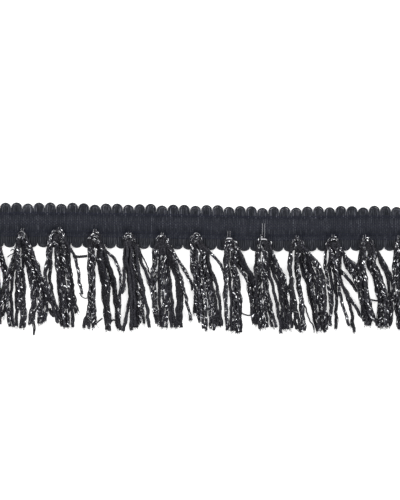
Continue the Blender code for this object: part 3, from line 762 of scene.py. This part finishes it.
# Cord bodies, in millimetres: each yarn's real radius, how many plies show in its outline, its
# small bends and their length, and the length of one turn of its twist.
Cord = namedtuple("Cord", "radius lobes kink kink_length twist")
CORDS = {
    "black": Cord(0.66, 3, 0.16, 9.0, 3.4),
    "silver": Cord(0.58, 4, 0.13, 7.0, 2.6),
    "thread": Cord(0.30, 3, 0.20, 6.0, 1.6),
}
CORD_STEP = 0.36 * MM
CORD_SWELL = Wave(0.05, 1.3)
LOBE_DEPTH = 0.09
FLATTENED = 0.9
KINK_SHARES = (1.0, 0.55, 0.3)
KINK_LENGTHS = (0.8, 1.25)
KINK_FROM = 8.0
KINK_EASE = 6.0
TURN = 6.3
HEAD_BELOW_TOP = 0.6 * MM
HEAD_BASE = 2.2 * MM
HEAD_DOME = 1.1 * MM
EXIT_SPREAD = 0.9
ARCH_STEPS = 9
ARCH_ROUND = 0.9
ARCH_EXTRA = 0.4 * MM
SIDE_TURNS = (0.7, 0.0)
FOOT_SPREAD = 1.2
FOOT_DROP = 1.6 * MM
DOME_AT_SIDES = 0.6
COURSE_LIFT = 0.85 * MM
COURSE_DIVE = 0.9 * MM
COURSE_ENDS_OUTSIDE = 0.5
GATHER = 0.16
PLIES = 2
PLY_STEP = 0.45 * MM
PLY_RADIUS = 0.11
PLY_EASE = 3.0 * MM
PLY_NEAR = 0.75
PLY_OUT = 0.65
PLY_SWAY = Wave(0.9, 2.6)
PLY_RISE = Wave(1.0, 1.9)
PLY_SWELL = Wave(0.04, 0.8)
FILAMENTS = 4
FILAMENTS_ON_BLACK = [2, 2, 1, 1, 0, 0, 0, 0, 1, 1, 1, 1, 0]
BLACK_WITH_FILAMENT = 3
FILAMENT_STEP = 0.34 * MM
FILAMENT_HIDE = 0.45 * MM
FILAMENT_SUNK = 0.12
FILAMENT_RADIUS = 0.13
FILAMENT_PITCHES = (3.4, 6.0)
FILAMENT_FAN = 0.3
FILAMENT_SWAY = Wave(0.5, 0.7)
FILAMENT_DIP = Wave(0.20, 0.36)
FILAMENT_DIP_DRIFT = Wave(1.5, 2.3)
FILAMENT_SWELL = Wave(0.07, 0.5)
FRAYS = 5
FRAY_SPREADS = ((-0.6, 0.6), (-0.2, 0.2), (-0.15, 0.35))
FRAY_LENGTHS = (0.5, 1.7)
FRAY_RADII = (0.035, 0.06)
FRAY_BEND = 0.5
FRAY_SAG = 0.1
FRAY_OPEN = 0.7
FRAY_ROOT = 0.3 * MM
FRAY_SHARES = (0.0, 0.35, 0.7, 1.0)
END_POINTS = 4

# Each fold: its half width over the heading, and how far left and right its cords leave it.
Fold = namedtuple("Fold", "half_width left right")
FOLDS = [
    Fold(1.8, -3.1, 5.0), Fold(1.3, -2.3, 3.4), Fold(2.5, -4.5, 4.1), Fold(2.1, -2.5, 3.7),
    Fold(2.0, -2.4, 3.5), Fold(1.9, -3.4, 3.8), Fold(1.7, -2.8, 4.4), Fold(1.9, -1.6, 3.9),
    Fold(2.0, -2.7, 3.4), Fold(2.2, -2.8, 3.9), Fold(2.1, -3.4, 3.3), Fold(1.6, -1.6, 4.6),
    Fold(1.8, -1.7, 3.5),
]

# Silver cords that come to the top of a fold: which strand of which lock, and its course over
# the head in millimetres, across from the bunch's middle and up from the lower edge line.
Course = namedtuple("Course", "bunch lock strand points")
COURSES = [
    Course(1, 2, 0, [(0.8, 5.2), (0.0, 6.2), (-1.0, 5.8), (-1.6, 4.4), (-1.6, 2.4), (-1.4, 0.4)]),
    Course(1, 5, 0, [(-0.4, 4.6), (0.6, 4.9), (1.2, 3.8), (1.3, 2.0), (1.2, 0.4)]),
    Course(2, 8, 0, [(0.6, 3.4), (0.6, 5.2), (-0.2, 6.0), (-1.1, 5.2), (-1.5, 3.6), (-1.3, 1.2)]),
    Course(2, 5, 0, [(-0.8, 4.0), (-0.3, 5.0), (0.4, 4.6), (0.2, 3.4)]),
    Course(2, 6, 0, [(1.0, 2.4), (1.6, 1.6), (2.8, 0.4)]),
    Course(3, 4, 0, [(0.5, 5.8), (-0.2, 6.8), (-1.6, 6.6), (-3.0, 5.6), (-3.8, 4.2), (-4.1, 2.4),
                     (-4.3, 0.9)]),
    Course(3, 5, 0, [(-0.8, 6.4), (0.4, 6.8), (1.4, 5.8), (1.5, 4.8)]),
    Course(3, 8, 0, [(-3.4, 1.5), (-2.6, 1.7), (-1.4, 1.7), (-0.8, 1.0)]),
    Course(3, 7, 0, [(0.6, 3.4), (1.2, 2.2), (1.6, 1.2), (1.7, 0.2)]),
    Course(4, 6, 0, [(1.1, 3.6), (0.7, 4.9), (-0.4, 5.2), (-1.5, 4.7), (-2.0, 3.8)]),
    Course(4, 6, 1, [(-0.6, 6.2), (0.2, 6.6), (1.0, 6.1)]),
    Course(4, 5, 0, [(-2.0, 3.2), (-1.4, 3.9), (-0.4, 3.9), (0.4, 3.2), (0.9, 2.6)]),
    Course(4, 3, 0, [(0.2, 3.6), (1.0, 2.9), (1.8, 2.0), (2.4, 1.2), (3.0, 0.4)]),
    Course(5, 2, 0, [(-2.3, 4.4), (-1.6, 5.4), (-0.4, 5.8), (0.8, 5.4), (1.5, 4.2), (1.7, 2.6)]),
    Course(5, 2, 1, [(-1.0, 3.2), (-0.9, 4.6), (-0.2, 5.1), (0.7, 5.0)]),
    Course(6, 5, 0, [(-2.0, 3.6), (-1.7, 4.6), (-0.9, 5.3), (0.1, 5.4)]),
    Course(6, 2, 0, [(0.4, 5.0), (1.0, 4.6), (1.6, 4.0), (1.9, 2.8), (1.9, 1.6)]),
    Course(7, 6, 0, [(1.1, 5.5), (0.4, 6.2), (-0.8, 6.1), (-1.6, 5.2), (-1.9, 3.6), (-1.8, 2.0),
                     (-1.9, 0.4)]),
    Course(7, 5, 0, [(-1.5, 4.0), (-0.6, 4.5), (0.4, 4.5), (1.2, 4.9), (1.7, 4.1)]),
    Course(7, 5, 1, [(-1.2, 3.0), (-0.8, 3.5), (-0.3, 3.2)]),
    Course(8, 7, 0, [(0.4, 3.5), (-0.3, 3.8), (-0.9, 3.2), (-1.2, 2.0), (-1.1, 0.4)]),
    Course(8, 5, 0, [(0.6, 3.6), (1.4, 3.6), (2.4, 3.2), (2.9, 2.4), (2.7, 1.4), (3.1, 0.4)]),
    Course(8, 4, 0, [(0.0, 3.0), (0.2, 2.0), (0.9, 0.4)]),
    Course(9, 6, 0, [(-0.5, 6.4), (-1.2, 5.6), (-1.6, 4.4), (-1.6, 3.0), (-2.0, 1.4), (-2.2, 0.3)]),
    Course(9, 6, 1, [(-1.8, 4.2), (-1.2, 3.6), (-1.0, 2.2), (-0.8, 0.8)]),
    Course(9, 3, 0, [(2.0, 3.8), (2.6, 3.6), (2.6, 2.8)]),
    Course(10, 8, 0, [(0.6, 4.2), (0.0, 5.1), (-0.9, 5.0), (-1.7, 4.4), (-1.5, 3.4), (-1.0, 2.4),
                      (-0.6, 0.9)]),
    Course(10, 9, 0, [(1.0, 4.2), (1.9, 3.6), (2.1, 2.6), (2.3, 1.6), (2.9, 0.4)]),
    Course(11, 9, 0, [(1.2, 4.6), (0.6, 5.2), (-0.6, 5.0), (-1.6, 4.4), (-2.3, 3.2), (-2.5, 2.4)]),
    Course(11, 8, 0, [(-2.3, 1.8), (-1.8, 1.0), (-1.3, 0.2)]),
    Course(11, 5, 0, [(1.2, 1.0), (1.9, 0.9), (2.6, 1.1), (3.4, 0.2)]),
    Course(12, 7, 0, [(-0.7, 4.6), (-0.7, 3.0), (-0.4, 1.6), (-0.2, 0.4)]),
    Course(12, 4, 0, [(0.4, 4.6), (1.1, 4.8), (1.6, 4.4)]),
    Course(12, 6, 1, [(2.8, 3.6), (3.3, 3.0), (3.2, 2.0)]),
    Course(13, 3, 1, [(0.3, 4.2), (-0.4, 3.8), (-0.9, 3.0), (-1.0, 1.4), (-0.8, 0.4)]),
    Course(13, 2, 0, [(-0.6, 4.4), (0.4, 4.8), (1.3, 3.8), (1.5, 2.0), (1.4, 0.4)]),
]


def distances(points):
    """Distance along a route at each of its points."""
    return np.r_[0.0, np.cumsum(np.linalg.norm(np.diff(points, axis=0), axis=1))]


def resampled(points, step):
    """Points at even steps along a smooth curve through a few points."""
    points = np.asarray(points, float)
    run = distances(points)
    slopes = np.gradient(points, run, axis=0)
    count = max(4, int(run[-1] / step))
    at = np.linspace(0.0, run[-1], count)
    index = np.clip(np.searchsorted(run, at, side="right") - 1, 0, len(run) - 2)
    span = (run[index + 1] - run[index])[:, None]
    t = (at - run[index])[:, None] / span
    return ((1 + 2 * t) * (1 - t) ** 2 * points[index] + t * (1 - t) ** 2 * span * slopes[index]
            + t * t * (3 - 2 * t) * points[index + 1] - t * t * (1 - t) * span * slopes[index + 1])


def side_frames(points):
    """Directions across and above a route at each of its points."""
    along = np.gradient(points, axis=0)
    along /= np.linalg.norm(along, axis=1)[:, None]
    side = np.cross([0.0, 0.0, 1.0], along)
    side /= np.linalg.norm(side, axis=1)[:, None]
    return side, np.cross(along, side)


def kinked(points, cord, chance):
    """The small bends that a cord keeps from being wound and folded."""
    side, _ = side_frames(points)
    run = distances(points) / MM
    ease = np.clip((run - KINK_FROM) / KINK_EASE, 0.0, 1.0)
    waves = np.zeros(len(points))
    for share in KINK_SHARES:
        length = cord.kink_length * chance.uniform(*KINK_LENGTHS) * share
        waves += share * np.sin(2 * math.pi * run / length + chance.uniform(0.0, TURN))
    return points + side * (waves * ease * cord.kink * MM)[:, None]


def arch_route(share, half_width, top, middle, edge, whole):
    """A plain fold over the heading: the strand's own side, or the whole arch where it owns it."""
    half = abs(share) * half_width
    hand = 1.0 if share >= 0 else -1.0
    tall = half * ARCH_ROUND + ARCH_EXTRA
    crown = edge + top - (half_width - half) * NEST_STEP
    dome = HEAD_DOME * (1.0 - (half / half_width) ** 2)
    points = []
    if whole:
        points.append((middle - hand * half * FOOT_SPREAD, crown - tall - FOOT_DROP, HEAD_BASE))
        turns = [math.pi * (1.0 - step / ARCH_STEPS) for step in range(ARCH_STEPS + 1)]
    else:
        turns = SIDE_TURNS
    for turn in turns:
        points.append((middle + hand * half * math.cos(turn), crown - tall * (1 - math.sin(turn)),
                       HEAD_BASE + dome * (DOME_AT_SIDES
                                           + (1 - DOME_AT_SIDES) * math.sin(turn))))
    return points


def course_route(course, half_width, middle, edge):
    """A silver cord's course on top of the fold: it comes up from under the other cords."""
    points = []
    for place, (x, up) in enumerate(course.points):
        dome = HEAD_DOME * max(0.0, 1.0 - (x * MM / half_width) ** 2)
        dive = COURSE_DIVE if place == 0 else 0.0
        points.append((middle + x * MM, edge + up * MM, HEAD_BASE + dome + COURSE_LIFT - dive))
    return points


def cord_look(wire):
    """Satin black yarn and silver filament in one material, told apart by the piece's own
    attributes. The yarn has grey lint; the filament has painted glints: its colour is near
    white in places and dull grey in others."""
    metal = wire.attribute("metal")
    tone = wire.attribute("tone")
    painted_glint = wire.noise(1530.0, 1.0)
    lint = wire.noise(2300.0, 3.0)
    nap = wire.noise(4600.0)
    black = tone.mix((0.002, 0.002, 0.004, 1.0), (0.012, 0.012, 0.017, 1.0))
    black = ((lint - 0.52) * 5.0).mix(black, (0.085, 0.085, 0.102, 1.0))
    # Painted glints: the filament's colour jumps between dull grey and near white, standing in for
    # the light it catches.
    silver = ((painted_glint - 0.42) * 8.0).mix((0.15, 0.15, 0.18, 1.0), (0.97, 0.98, 1.0, 1.0))
    return {
        "Base Color": metal.mix(black, silver),
        "Metallic": metal,
        "Roughness": 0.42 + 0.2 * nap - 0.25 * metal,
        "Normal": wire.bump(nap, 0.4, 0.07 * MM),
    }


cord_material = principled("bunch_cord", cord_look, {"Specular IOR Level": 0.22})
cord_profiles = {name: profile_curve(f"{name}_profile", 3 * cord.lobes, cord.radius * MM,
                                     cord.lobes, LOBE_DEPTH)
                 for name, cord in CORDS.items()}
filament_profile = profile_curve("filament_profile", 4, MM)


def beside(points, frames, angle, reach, width):
    """A thin route about a cord, by its angle and distance from it, kept above the table."""
    side, above = frames
    place = (points + side * (np.cos(angle) * reach)[:, None]
             + above * (np.sin(angle) * reach)[:, None])
    place[:, 2] = np.maximum(place[:, 2], width * MM)
    return place, width, 0.0


def filament_routes(points, radius, course_length, head_length, count, chance):
    """Silver filaments wound loosely about a cord, now proud of it and now sunk in it. On the
    head they show only along the cord's course over the fold."""
    frames = side_frames(points)
    run = distances(points)
    hand = chance.choice((-1.0, 1.0))
    shown = np.clip(1.0 - (run - course_length) / MM, 0.0, 1.0)
    shown = np.maximum(shown, np.clip(1.0 + (run - head_length) / MM, 0.0, 1.0))
    routes = []
    for number in range(count):
        pitch = chance.uniform(*FILAMENT_PITCHES) * MM * hand
        phases = [chance.uniform(0.0, TURN) for _ in range(3)]
        start = math.pi * (0.5 + FILAMENT_FAN * (number - (count - 1) / 2))
        free = np.maximum(run - course_length, 0.0)
        angle = start + 2 * math.pi * free / pitch + wave_at(FILAMENT_SWAY, run, phases[0])
        dips = wave_at(FILAMENT_DIP, run, phases[1] + wave_at(FILAMENT_DIP_DRIFT, run))
        reach = radius + (dips - FILAMENT_SUNK) * MM - (1.0 - shown) * FILAMENT_HIDE
        width = FILAMENT_RADIUS + wave_at(FILAMENT_SWELL, run, phases[2])
        routes.append(beside(points, frames, angle, reach, width))
    return routes


def ply_routes(points, radius, head_length, chance):
    """Thin plies that have come loose along a cord and wander beside it."""
    frames = side_frames(points)
    run = distances(points)
    ease = np.clip((run - head_length) / PLY_EASE, 0.0, 1.0)
    routes = []
    for number in range(PLIES):
        phases = [chance.uniform(0.0, TURN) for _ in range(3)]
        angle = math.pi * number + wave_at(PLY_SWAY, run, phases[0])
        proud = np.maximum(0.0, wave_at(PLY_RISE, run, phases[1]))
        reach = radius * (PLY_NEAR + PLY_OUT * proud * ease)
        width = PLY_RADIUS + wave_at(PLY_SWELL, run, phases[2])
        routes.append(beside(points, frames, angle, reach, width))
    return routes


def frayed_routes(points, radius, chance):
    """Loose fibres at a cut end."""
    routes = []
    end = points[-1]
    away = points[-1] - points[-END_POINTS]
    away /= np.linalg.norm(away)
    for _ in range(FRAYS):
        spread = np.array([chance.uniform(*limits) for limits in FRAY_SPREADS])
        start = end + spread * radius - away * FRAY_ROOT
        length = chance.uniform(*FRAY_LENGTHS) * MM
        bend = np.array([chance.uniform(-FRAY_BEND, FRAY_BEND), 0.0, -FRAY_SAG])
        fibre = np.array([start + (away + spread * FRAY_OPEN + bend * share) * length * share
                          for share in FRAY_SHARES])
        width = chance.uniform(*FRAY_RADII)
        fibre[:, 2] = np.maximum(fibre[:, 2], width * MM)
        routes.append((fibre, width, 0.0))
    return routes


def make_bunch(number, bunch, pile):
    """One bunch: its strands laid in turn on the pile, then folded over the heading."""
    name = f"bunch_{number:02d}"
    middle = bunch_middle(number, bunch)
    edge = rise_at(middle)
    strands = bunch_strands(bunch, random.Random(number))
    ranks = head_order(strands)
    laid = []
    for place, (yarn_name, points) in enumerate(strands):
        yarn = YARNS[yarn_name]
        slot = head_slot(ranks[place], len(strands))
        route = free_route(points, slot, middle, edge)
        heights = pile.settle(route, yarn.width * MM)
        pile.lay(route, heights, yarn.width * MM, yarn.height * MM)
        laid.append((route, heights, yarn))
    spare = GAP - STRAND_GAP
    for route, heights, yarn in laid:
        pile.lay(route, heights, yarn.width * MM + 2 * spare, yarn.height * MM + spare)

    chance = random.Random(100 + number)
    bm = bmesh.new()
    for layer in ("metal", "tone"):
        bm.verts.layers.float.new(layer)
    lock_starts = np.r_[0, np.cumsum([lock.strands for lock in bunch.locks])]
    courses = {ranks[int(lock_starts[course.lock]) + course.strand]: course
               for course in COURSES if course.bunch == number}
    fold = FOLDS[number - 1]
    half_width = fold.half_width * MM
    inward = [(0.5 - strand / max(lock.strands - 1, 1)) * lock.fan * GATHER * MM
              for lock in bunch.locks for strand in range(lock.strands)]
    last = len(strands) - 1
    for place, ((yarn_name, places), (route, heights, yarn)) in enumerate(zip(strands, laid)):
        cord = CORDS[yarn_name]
        rank = ranks[place]
        share = (rank / last - 0.5) * 2
        if rank in courses:
            points = course_route(courses[rank], half_width, middle, edge)
            course_length = distances(points)[-1]
            outside = courses[rank].points[-1][1] <= COURSE_ENDS_OUTSIDE
        else:
            top = bunch.top * MM - HEAD_BELOW_TOP - cord.radius * MM
            whole = share < 0 or last - rank in courses
            points = arch_route(share, half_width, top, middle, edge, whole)
            course_length = 0.0
            outside = False
        if not outside:
            leave = min(max(places[0][1] * EXIT_SPREAD, fold.left), fold.right) * MM
            points.append((middle + leave, edge, max(HEAD_BASE, heights[0])))
        head_length = distances(points)[-1]
        points += [(x + inward[place], y, z + yarn.height * MM / 2)
                   for (x, y), z in zip(route, heights)]
        line = resampled(points, CORD_STEP)
        line = kinked(line, cord, chance)
        line[:, 1] += LINE_Y
        line[:, 2] = np.maximum(line[:, 2], cord.radius * MM * FLATTENED)
        run = np.arange(len(line)) * CORD_STEP
        twists = run / (cord.twist * MM) * 2 * math.pi
        radii = 1.0 + wave_at(CORD_SWELL, run, place)
        tone = chance.uniform(0.0, 1.0)
        cord_body = tubes([(line, radii, twists)], cord_profiles[yarn_name])
        add_yarns(bm, cord_body, metal=0.0, tone=tone)
        loose = resampled(line, PLY_STEP)
        fibres = frayed_routes(line, cord.radius * MM, chance)
        if yarn_name != "thread":
            fibres += ply_routes(loose, cord.radius * MM, head_length, chance)
        add_yarns(bm, tubes(fibres, filament_profile), metal=0.0, tone=tone)
        filaments = FILAMENTS if yarn_name == "silver" else 0
        if yarn_name == "black" and place % BLACK_WITH_FILAMENT:
            filaments = FILAMENTS_ON_BLACK[number - 1]
        if filaments:
            wound = resampled(line, FILAMENT_STEP)
            routes = filament_routes(wound, cord.radius * MM, course_length, head_length,
                                     filaments, chance)
            add_yarns(bm, tubes(routes, filament_profile, False), metal=1.0, tone=tone)
    piece = finished(name + "_cords", bm, cord_material)
    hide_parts(name)
    return piece


pile = Pile()
for number, each in enumerate(BUNCHES, start=1):
    make_bunch(number, each, pile)

# Stitches
# The pale sewing thread that holds the folds: a stitch climbs from each head into the warp, and
# on two bunches a bar lies across the fold.
STITCH_RADIUS = 0.045
STITCH_LENGTHS = (0.1, 0.6)
LONG_STITCHES = {8: 1.5, 9: 4.8}
BAR_RADIUS = 0.24
BAR_HALF_LENGTH = 1.05 * MM
BAR_BELOW_TOP = 1.3 * MM
BAR_ABOVE_FOLD = 1.15 * MM
STITCH_Z = 1.62 * MM
STITCH_SIDES = (-0.5, 0.4)
STITCH_FOOT = 0.6 * MM
STITCH_TURN = 0.3 * MM
STITCH_LEAN = 0.05 * MM
STITCH_STEP = 0.2 * MM

# The bar's course: share of its half length along the trim, then millimetres up and out.
BAR_COURSE = [(-1.0, -0.2, -0.9), (-0.7, 0.0, 0.0), (0.0, 0.05, 0.1), (0.7, 0.0, 0.0),
              (1.0, -0.2, -0.9)]


def stitch_look(wire):
    """Grey sewing thread, its twist just showing."""
    twist = wire.noise(5000.0)
    return {"Base Color": twist.mix((0.30, 0.30, 0.32, 1.0), (0.90, 0.90, 0.94, 1.0)),
            "Roughness": 0.5 + 0.2 * twist}


def make_stitches():
    chance = random.Random(73)
    profile = profile_curve("stitch_profile", 6, MM)
    routes = []
    for number, bunch in enumerate(BUNCHES, start=1):
        middle = bunch_middle(number, bunch)
        top = LINE_Y + rise_at(middle) + bunch.top * MM
        for side in STITCH_SIDES:
            x = middle + side * MM
            length = LONG_STITCHES.get(number, chance.uniform(*STITCH_LENGTHS)) * MM
            points = [(x, top - STITCH_FOOT, STITCH_Z + STITCH_TURN),
                      (x, top + STITCH_TURN, STITCH_Z),
                      (x + STITCH_LEAN, top + length, STITCH_Z - 2 * STITCH_LEAN),
                      (x + STITCH_LEAN, top + length + STITCH_TURN, WEFT_Z)]
            routes.append((resampled(points, STITCH_STEP), STITCH_RADIUS, 0.0))
        if number in LONG_STITCHES:
            y = top - BAR_BELOW_TOP
            z = HEAD_BASE + HEAD_DOME + BAR_ABOVE_FOLD
            points = [(middle + along * BAR_HALF_LENGTH, y + up * MM, z + out * MM)
                      for along, up, out in BAR_COURSE]
            routes.append((resampled(points, STITCH_STEP), BAR_RADIUS, 0.0))
    material = principled("stitch_thread", stitch_look, {"Specular IOR Level": 0.5})
    return finished("stitches", tubes(routes, profile), material)


stitches = make_stitches()

# Stray threads
# Ends and loops that have slipped out of the bunches and lie between them, placed one by one.
STRAY_STEP = 0.2 * MM
STRAY_TWIST = 0.5

Stray = namedtuple("Stray", "radius points")
STRAYS = [
    Stray(0.34, [(-64.4, -25.0, 0.6), (-64.6, -27.5, 0.4), (-64.2, -30.7, 0.4),
                 (-64.7, -33.4, 0.4)]),
    Stray(0.20, [(-64.9, -25.6, 0.5), (-65.2, -28.4, 0.3), (-64.8, -31.2, 0.3),
                 (-64.9, -32.8, 0.3)]),
    Stray(0.56, [(-58.2, -22.6, 1.2), (-57.8, -24.6, 0.8), (-56.7, -25.7, 0.7),
                 (-55.5, -25.0, 0.7), (-55.7, -23.7, 0.9), (-57.0, -23.6, 1.1),
                 (-57.1, -24.8, 1.5), (-56.2, -24.9, 1.7)]),
    Stray(0.56, [(-48.9, -1.6, 1.9), (-46.8, -2.0, 1.3), (-45.2, -1.9, 1.3), (-43.3, -1.7, 1.9)]),
    Stray(0.20, [(-46.4, -16.4, 1.0), (-45.4, -18.0, 0.5), (-44.0, -18.6, 0.5),
                 (-42.4, -18.0, 1.2)]),
    Stray(0.30, [(-39.6, -28.6, 0.6), (-38.6, -27.7, 0.6), (-37.2, -26.6, 0.8)]),
    Stray(0.34, [(-35.6, -28.3, 1.0), (-34.0, -27.9, 0.6), (-32.8, -27.3, 0.6),
                 (-31.2, -27.8, 1.0)]),
    Stray(0.30, [(17.6, -24.0, 1.4), (19.0, -24.8, 0.6), (20.8, -25.4, 0.6), (22.8, -25.2, 1.4)]),
    Stray(0.36, [(68.6, -18.8, 1.6), (70.2, -19.2, 0.8), (71.8, -19.5, 0.8), (73.4, -19.7, 1.6)]),
    Stray(0.20, [(-73.9, 0.2, 1.2), (-73.3, 0.9, 0.6), (-72.4, 0.6, 0.5), (-72.8, -0.6, 0.5),
                 (-74.0, -1.2, 0.6), (-75.2, -2.2, 0.8)]),
]


def make_strays():
    profile = profile_curve("stray_profile", 8, MM, lobes=3, lobe_depth=0.10)
    routes = []
    for stray in STRAYS:
        points = [(x * MM, LINE_Y + y * MM, z * MM) for x, y, z in stray.points]
        line = resampled(points, STRAY_STEP)
        routes.append((line, stray.radius, np.arange(len(line)) * STRAY_TWIST))
    return finished("stray_threads", tubes(routes, profile), cord_material)


strays = make_strays()
for piece in list(bpy.context.scene.objects):
    if piece.name.endswith("_profile"):
        bpy.data.objects.remove(piece)

# Table, light and camera
# A white table seen from straight above, lit softly all round, so that hardly a shadow shows.
PHOTO_SCALE = 0.4 * MM
PHOTO_HEIGHT = 500
CAMERA_X = 1.8 * MM
CAMERA_Y = LINE_Y + 0.7 * MM
CAMERA_HEIGHT = 0.9
SENSOR = 36.0
SKY_STRENGTH = 0.3


def table_look(wire):
    fleck = wire.noise(40.0)
    return {"Base Color": fleck.mix((0.86, 0.86, 0.86, 1.0), (0.90, 0.90, 0.90, 1.0)),
            "Roughness": 0.9 + 0.05 * fleck}


bm = bmesh.new()
bmesh.ops.create_grid(bm, x_segments=1, y_segments=1, size=1.5)
table = object_of("table", bm, principled(
    "white_table", table_look, {"Specular IOR Level": 0.1, "Emission Strength": 0.5,
                                "Emission Color": (1.0, 1.0, 1.0, 1.0)}))

Light = namedtuple("Light", "name x y z size power")
LIGHTS = [
    Light("left_light", -0.55, 0.25, 0.55, 0.5, 3.2),
    Light("right_light", 0.55, 0.25, 0.55, 0.5, 3.2),
    Light("front_light", 0.0, -0.60, 0.55, 0.5, 2.6),
    Light("back_light", 0.1, 0.65, 0.50, 0.5, 2.6),
]
for row in LIGHTS:
    lamp = bpy.data.lights.new(row.name, "AREA")
    lamp.size = row.size
    lamp.energy = row.power
    holder = bpy.data.objects.new(row.name, lamp)
    holder.location = (row.x, row.y, row.z)
    holder.rotation_euler = Vector((row.x, row.y, row.z)).to_track_quat("Z", "Y").to_euler()
    bpy.context.scene.collection.objects.link(holder)
world = bpy.data.worlds.new("studio")
world.use_nodes = True
sky = world.node_tree.nodes["Background"]
sky.inputs["Color"].default_value = (1.0, 1.0, 1.0, 1.0)
sky.inputs["Strength"].default_value = SKY_STRENGTH
bpy.context.scene.world = world
bpy.context.scene.view_settings.view_transform = "Standard"

lens = bpy.data.cameras.new("camera")
lens.sensor_width = SENSOR
lens.lens = SENSOR * CAMERA_HEIGHT / (PHOTO_HEIGHT * PHOTO_SCALE)
lens.clip_start = 0.01
camera = bpy.data.objects.new("camera", lens)
camera.location = (CAMERA_X, CAMERA_Y, CAMERA_HEIGHT)
bpy.context.scene.collection.objects.link(camera)
bpy.context.scene.camera = camera
